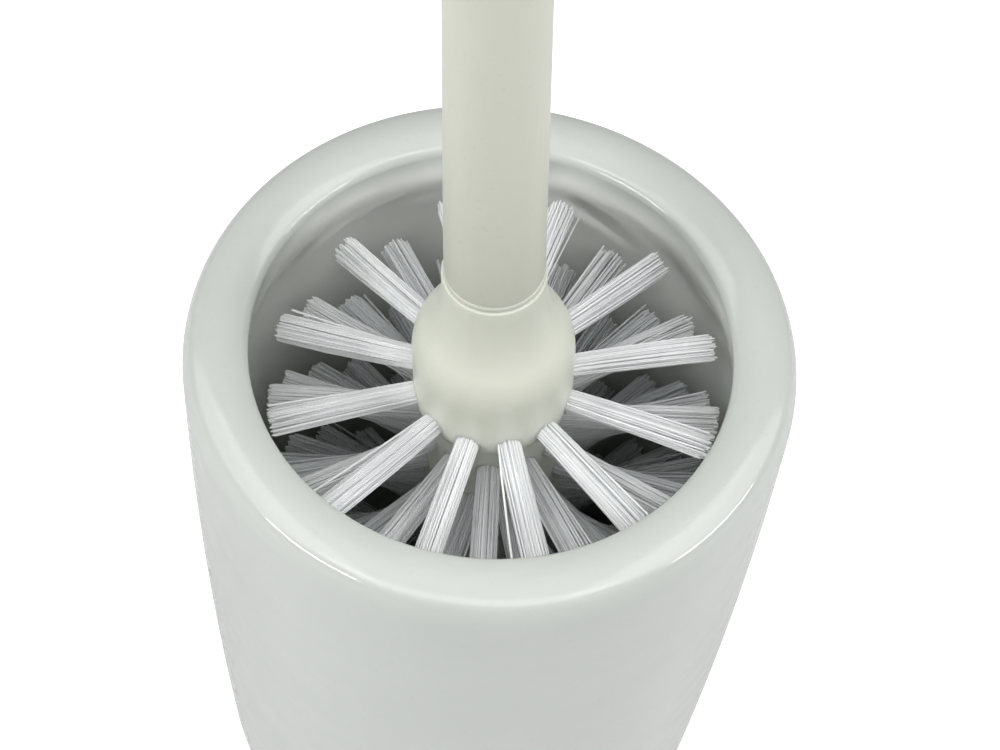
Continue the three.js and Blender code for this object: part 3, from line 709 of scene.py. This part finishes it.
# --- Seal ring ------------------------------------------------------------------------
# A thin moulded ring with a rounded edge, squeezed between the collar and the handle so
# that no water creeps up to the thread.
TUBE_SIDES = 128
RING_BORE = 6.0
RING_HALF = 0.7
RING_EDGE = 0.45
RING_RADIUS = 8.95
RING_PALE = (0.60, 0.61, 0.535, 1)
RING_DEEP = (0.565, 0.575, 0.51, 1)
RING_ROUGHNESS = (0.25, 0.38)


def ring_material():
    material, tree, shader, _, uneven = new_material("seal_plastic", broad=80, fine=1200, speck=900)
    tone = mixed(tree, uneven["Broad"], RING_PALE, RING_DEEP)
    tree.links.new(tone, shader.inputs["Base Color"])
    rough = spread(tree, uneven["Fine"], 0, 1, *RING_ROUGHNESS)
    tree.links.new(rough, shader.inputs["Roughness"])
    relief(tree, shader, uneven["Fine"], strength=0.1, distance=0.0001)
    shader.inputs["Subsurface Weight"].default_value = 0.3
    shader.inputs["Subsurface Scale"].default_value = 0.002
    return material


ring_outline = np.vstack([
    [RING_BORE, -RING_HALF],
    arc((RING_RADIUS - RING_EDGE, -RING_HALF + RING_EDGE), RING_EDGE, -90, 0, 6),
    arc((RING_RADIUS - RING_EDGE, RING_HALF - RING_EDGE), RING_EDGE, 0, 90, 6),
    [RING_BORE, RING_HALF],
])
ring_points, ring_faces = turned(ring_outline, TUBE_SIDES, rows_close=True)
ring = piece("seal_ring_moulded", on_brush(ring_points), ring_faces, ring_material())
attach(ring, "seal")
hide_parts("seal_ring")


# --- Handle tube ----------------------------------------------------------------------
# An extruded plastic tube in warm white, cut square and deburred at both ends. Its skin is
# satin, with the faint lengthwise draw lines that extruding leaves.
HANDLE_RADIUS = 8.85
HANDLE_WALL = 1.2
HANDLE_BOTTOM = 0.75
HANDLE_LENGTH = 226
TUBE_EDGE = 0.25
HANDLE_TOP = HANDLE_BOTTOM + HANDLE_LENGTH
HANDLE_WARM = (0.595, 0.60, 0.515, 1)
HANDLE_COOL = (0.57, 0.58, 0.505, 1)
HANDLE_ROUGHNESS = (0.28, 0.36)


def handle_material():
    made = new_material("handle_plastic", broad=22, fine=1500, speck=800)
    material, tree, shader, place, uneven = made
    drawn = node(tree, "Mapping", {"Vector": place, "Scale": (1, 1, 0.02)}).outputs["Vector"]
    lines = node(tree, "TexNoise", {"Vector": drawn, "Scale": 900, "Detail": 2}).outputs["Fac"]
    tone = mixed(tree, uneven["Broad"], HANDLE_WARM, HANDLE_COOL)
    faint = spread(tree, uneven["Speck"], 0, 1, to_high=0.12)
    tree.links.new(mixed(tree, faint, tone, GLAZE_SPECK), shader.inputs["Base Color"])
    rough = spread(tree, lines, 0.3, 0.7, *HANDLE_ROUGHNESS)
    tree.links.new(rough, shader.inputs["Roughness"])
    height = node(tree, "Math", {0: lines, 1: uneven["Fine"]}, operation="ADD").outputs[0]
    relief(tree, shader, height, strength=0.06, distance=0.00015)
    shader.inputs["Subsurface Weight"].default_value = 0.2
    shader.inputs["Subsurface Radius"].default_value = (1.0, 0.95, 0.8)
    shader.inputs["Subsurface Scale"].default_value = 0.0015
    return material


handle_plastic = handle_material()
bore = HANDLE_RADIUS - HANDLE_WALL
rows = np.linspace(HANDLE_BOTTOM + TUBE_EDGE, HANDLE_TOP - TUBE_EDGE, 24)
tube_edge_radius = HANDLE_RADIUS - TUBE_EDGE
tube_outline = np.vstack([
    [bore, HANDLE_BOTTOM + TUBE_EDGE],
    [bore + TUBE_EDGE, HANDLE_BOTTOM],
    arc((tube_edge_radius, rows[0]), TUBE_EDGE, -90, 0, 5),
    np.stack([np.full_like(rows, HANDLE_RADIUS), rows], axis=-1)[1:-1],
    arc((tube_edge_radius, rows[-1]), TUBE_EDGE, 0, 90, 5),
    [bore + TUBE_EDGE, HANDLE_TOP],
    np.stack([np.full_like(rows, bore), rows[::-1]], axis=-1)[:-1],
])
tube_points, tube_faces = turned(tube_outline, TUBE_SIDES, rows_close=True)
tube = piece("handle_tube_extruded", on_brush(tube_points), tube_faces, handle_plastic)
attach(tube, "handle")
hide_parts("handle_tube")


# --- Thread insert --------------------------------------------------------------------
# A moulded plug with the inner thread, pressed into the tube's lower end. It is the packed
# part's own shape, seen only from below when the handle is off.
INSERT_PALE = (0.62, 0.62, 0.55, 1)
INSERT_DULL = (0.54, 0.54, 0.48, 1)
INSERT_ROUGHNESS = (0.42, 0.6)


def insert_material():
    material, tree, shader, _, uneven = new_material("insert_plastic", broad=120, fine=1600, speck=900)
    tone = mixed(tree, uneven["Broad"], INSERT_PALE, INSERT_DULL)
    tree.links.new(tone, shader.inputs["Base Color"])
    rough = spread(tree, uneven["Fine"], 0, 1, *INSERT_ROUGHNESS)
    tree.links.new(rough, shader.inputs["Roughness"])
    relief(tree, shader, uneven["Fine"], strength=0.2, distance=0.0001)
    return material


insert = frame["nodes"]["thread_insert"]
insert.data.materials.clear()
insert.data.materials.append(insert_material())


# --- End cap --------------------------------------------------------------------------
# A domed plug of the handle's plastic, pushed into the tube's top until its shoulder seats.
CAP_PLUG = 10
CAP_HEIGHT = 6
CAP_SEAT = HANDLE_TOP + 0.06
CAP_LIFT = 0.3
CAP_GROOVE = 0.2
CAP_ROUND = 4.2
CAP_ROUND_END = 78  # degrees, where the round eases into the dome
CAP_DOME = 0.5
CAP_CROWN = 2.6
PLUG_CLEARANCE = 0.3
PLUG_CHAMFER = 0.6
cap_top = HANDLE_TOP + CAP_LIFT + CAP_HEIGHT
plug_radius, plug_end = bore - PLUG_CLEARANCE, HANDLE_TOP - CAP_PLUG
round_centre = (HANDLE_RADIUS - CAP_ROUND, cap_top - CAP_ROUND - CAP_DOME)
shoulder = arc(round_centre, CAP_ROUND, 0, CAP_ROUND_END, 16)
cap_outline = np.vstack([
    [0, plug_end],
    [plug_radius - PLUG_CHAMFER, plug_end],
    [plug_radius, plug_end + PLUG_CHAMFER],
    [plug_radius, CAP_SEAT],
    arc((HANDLE_RADIUS - CAP_GROOVE, CAP_SEAT + CAP_GROOVE), CAP_GROOVE, -90, 0, 5),
    shoulder,
    bend([shoulder[-1], (CAP_CROWN, cap_top), (0, cap_top)], 10)[1:],
])
cap_points, cap_faces = turned(cap_outline, TUBE_SIDES)
cap = piece("handle_end_cap_domed", on_brush(cap_points), cap_faces, handle_plastic)
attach(cap, "handle")
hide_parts("handle_end_cap")


# --- Floor, light and camera ----------------------------------------------------------
# A white studio floor and surround, which the camera sees brighter than the light they give.
# Two narrow strips low at the sides draw the rim's highlights, four broad softboxes fill, and
# the camera looks steeply down into the cup. Sizes in this section are in metres.
FLOOR_WHITE = (0.78, 0.78, 0.78, 1)
FLOOR_LIFT = 0.6  # overexposes the floor for the camera, without lighting the cup
FLOOR_ROUGHNESS = (0.6, 0.7)
FLOOR_HALF = 2.5
SURROUND_COLOR = (0.97, 0.985, 1, 1)
SURROUND_LIGHT = 0.1
SURROUND_SEEN = 0.7  # about as pale as the floor is far away
LIGHT_DISTANCE = 0.95
AIM_HEIGHT = 0.14  # just over the rim
CAMERA_RISE = np.radians(56.31)
CAMERA_ROLL = np.radians(5.11)
CAMERA_DISTANCE = 0.7
CAMERA_LENS = 142.18
CAMERA_SHIFT = (0.00753, -0.0378)

floor_material = bpy.data.materials.new("floor_white")
floor_material.use_nodes = True
floor_tree = floor_material.node_tree
floor_place = node(floor_tree, "TexCoord", {}).outputs["Object"]
floor_noise = node(floor_tree, "TexNoise", {"Vector": floor_place, "Scale": 3}).outputs["Fac"]
floor_shader = floor_tree.nodes["Principled BSDF"]
floor_shader.inputs["Base Color"].default_value = FLOOR_WHITE
floor_rough = spread(floor_tree, floor_noise, 0, 1, *FLOOR_ROUGHNESS)
floor_tree.links.new(floor_rough, floor_shader.inputs["Roughness"])
seen_straight = node(floor_tree, "LightPath", {}).outputs["Is Camera Ray"]
floor_lift = spread(floor_tree, seen_straight, 0, 1, to_high=FLOOR_LIFT)
floor_shader.inputs["Emission Color"].default_value = (1, 1, 1, 1)
floor_tree.links.new(floor_lift, floor_shader.inputs["Emission Strength"])
corners = np.array([[-1, -1, 0], [1, -1, 0], [1, 1, 0], [-1, 1, 0]]) * FLOOR_HALF / MM
floor = piece("studio_floor", corners, np.array([[0, 1, 2, 3]]), floor_material)

world = bpy.data.worlds.new("studio_surround")
world.use_nodes = True
world_tree = world.node_tree
world_tree.nodes["Background"].inputs["Color"].default_value = SURROUND_COLOR
seen = node(world_tree, "LightPath", {}).outputs["Is Camera Ray"]
surround = spread(world_tree, seen, 0, 1, SURROUND_LIGHT, SURROUND_SEEN)
world_tree.links.new(surround, world_tree.nodes["Background"].inputs["Strength"])
bpy.context.scene.world = world


def softbox(name, bearing, rise, width, height, watts):
    """A rectangular light that faces the aim point, seen from there at a bearing and a rise in
    degrees, with its width level."""
    data = bpy.data.lights.new(name, "AREA")
    data.shape = "RECTANGLE"
    data.size, data.size_y = width, height
    data.energy = watts
    bearing, rise = np.radians(bearing), np.radians(rise)
    level = np.array([np.cos(bearing), np.sin(bearing), 0])
    outward = Vector(level * np.cos(rise) + np.array([0, 0, np.sin(rise)]))
    side = Vector((0, 0, 1)).cross(outward).normalized()
    turn = Matrix((side, outward.cross(side), outward)).transposed().to_4x4()
    light = bpy.data.objects.new(name, data)
    light.matrix_world = Matrix.Translation(aim_point + outward * LIGHT_DISTANCE) @ turn
    bpy.context.scene.collection.objects.link(light)


aim_point = Vector((0, 0, AIM_HEIGHT))
softbox("strip_left", -140, 22, 0.50, 0.06, 3.6)
softbox("strip_right", -12, 20, 0.50, 0.06, 2.6)
softbox("softbox_left", 180, 50, 0.9, 0.8, 3.8)
softbox("softbox_right", 0, 50, 0.9, 0.8, 4.4)
softbox("softbox_above", -90, 84, 1.2, 1.2, 2.4)
softbox("softbox_front", -90, 60, 1.0, 0.6, 3.1)

sin_rise, cos_rise = np.sin(CAMERA_RISE), np.cos(CAMERA_RISE)
backward = Vector((0, -cos_rise, sin_rise))
level_right, level_up = Vector((1, 0, 0)), Vector((0, sin_rise, cos_rise))
sin_roll, cos_roll = np.sin(CAMERA_ROLL), np.cos(CAMERA_ROLL)
camera_right = level_right * cos_roll + level_up * sin_roll
camera_up = level_up * cos_roll - level_right * sin_roll
camera_data = bpy.data.cameras.new("camera")
camera_data.lens = CAMERA_LENS
camera_data.shift_x, camera_data.shift_y = CAMERA_SHIFT
camera = bpy.data.objects.new("camera", camera_data)
camera_axes = Matrix((camera_right, camera_up, backward)).transposed().to_4x4()
camera.matrix_world = Matrix.Translation(aim_point + backward * CAMERA_DISTANCE) @ camera_axes
bpy.context.scene.collection.objects.link(camera)
bpy.context.scene.camera = camera
bpy.context.scene.view_settings.view_transform = "Standard"
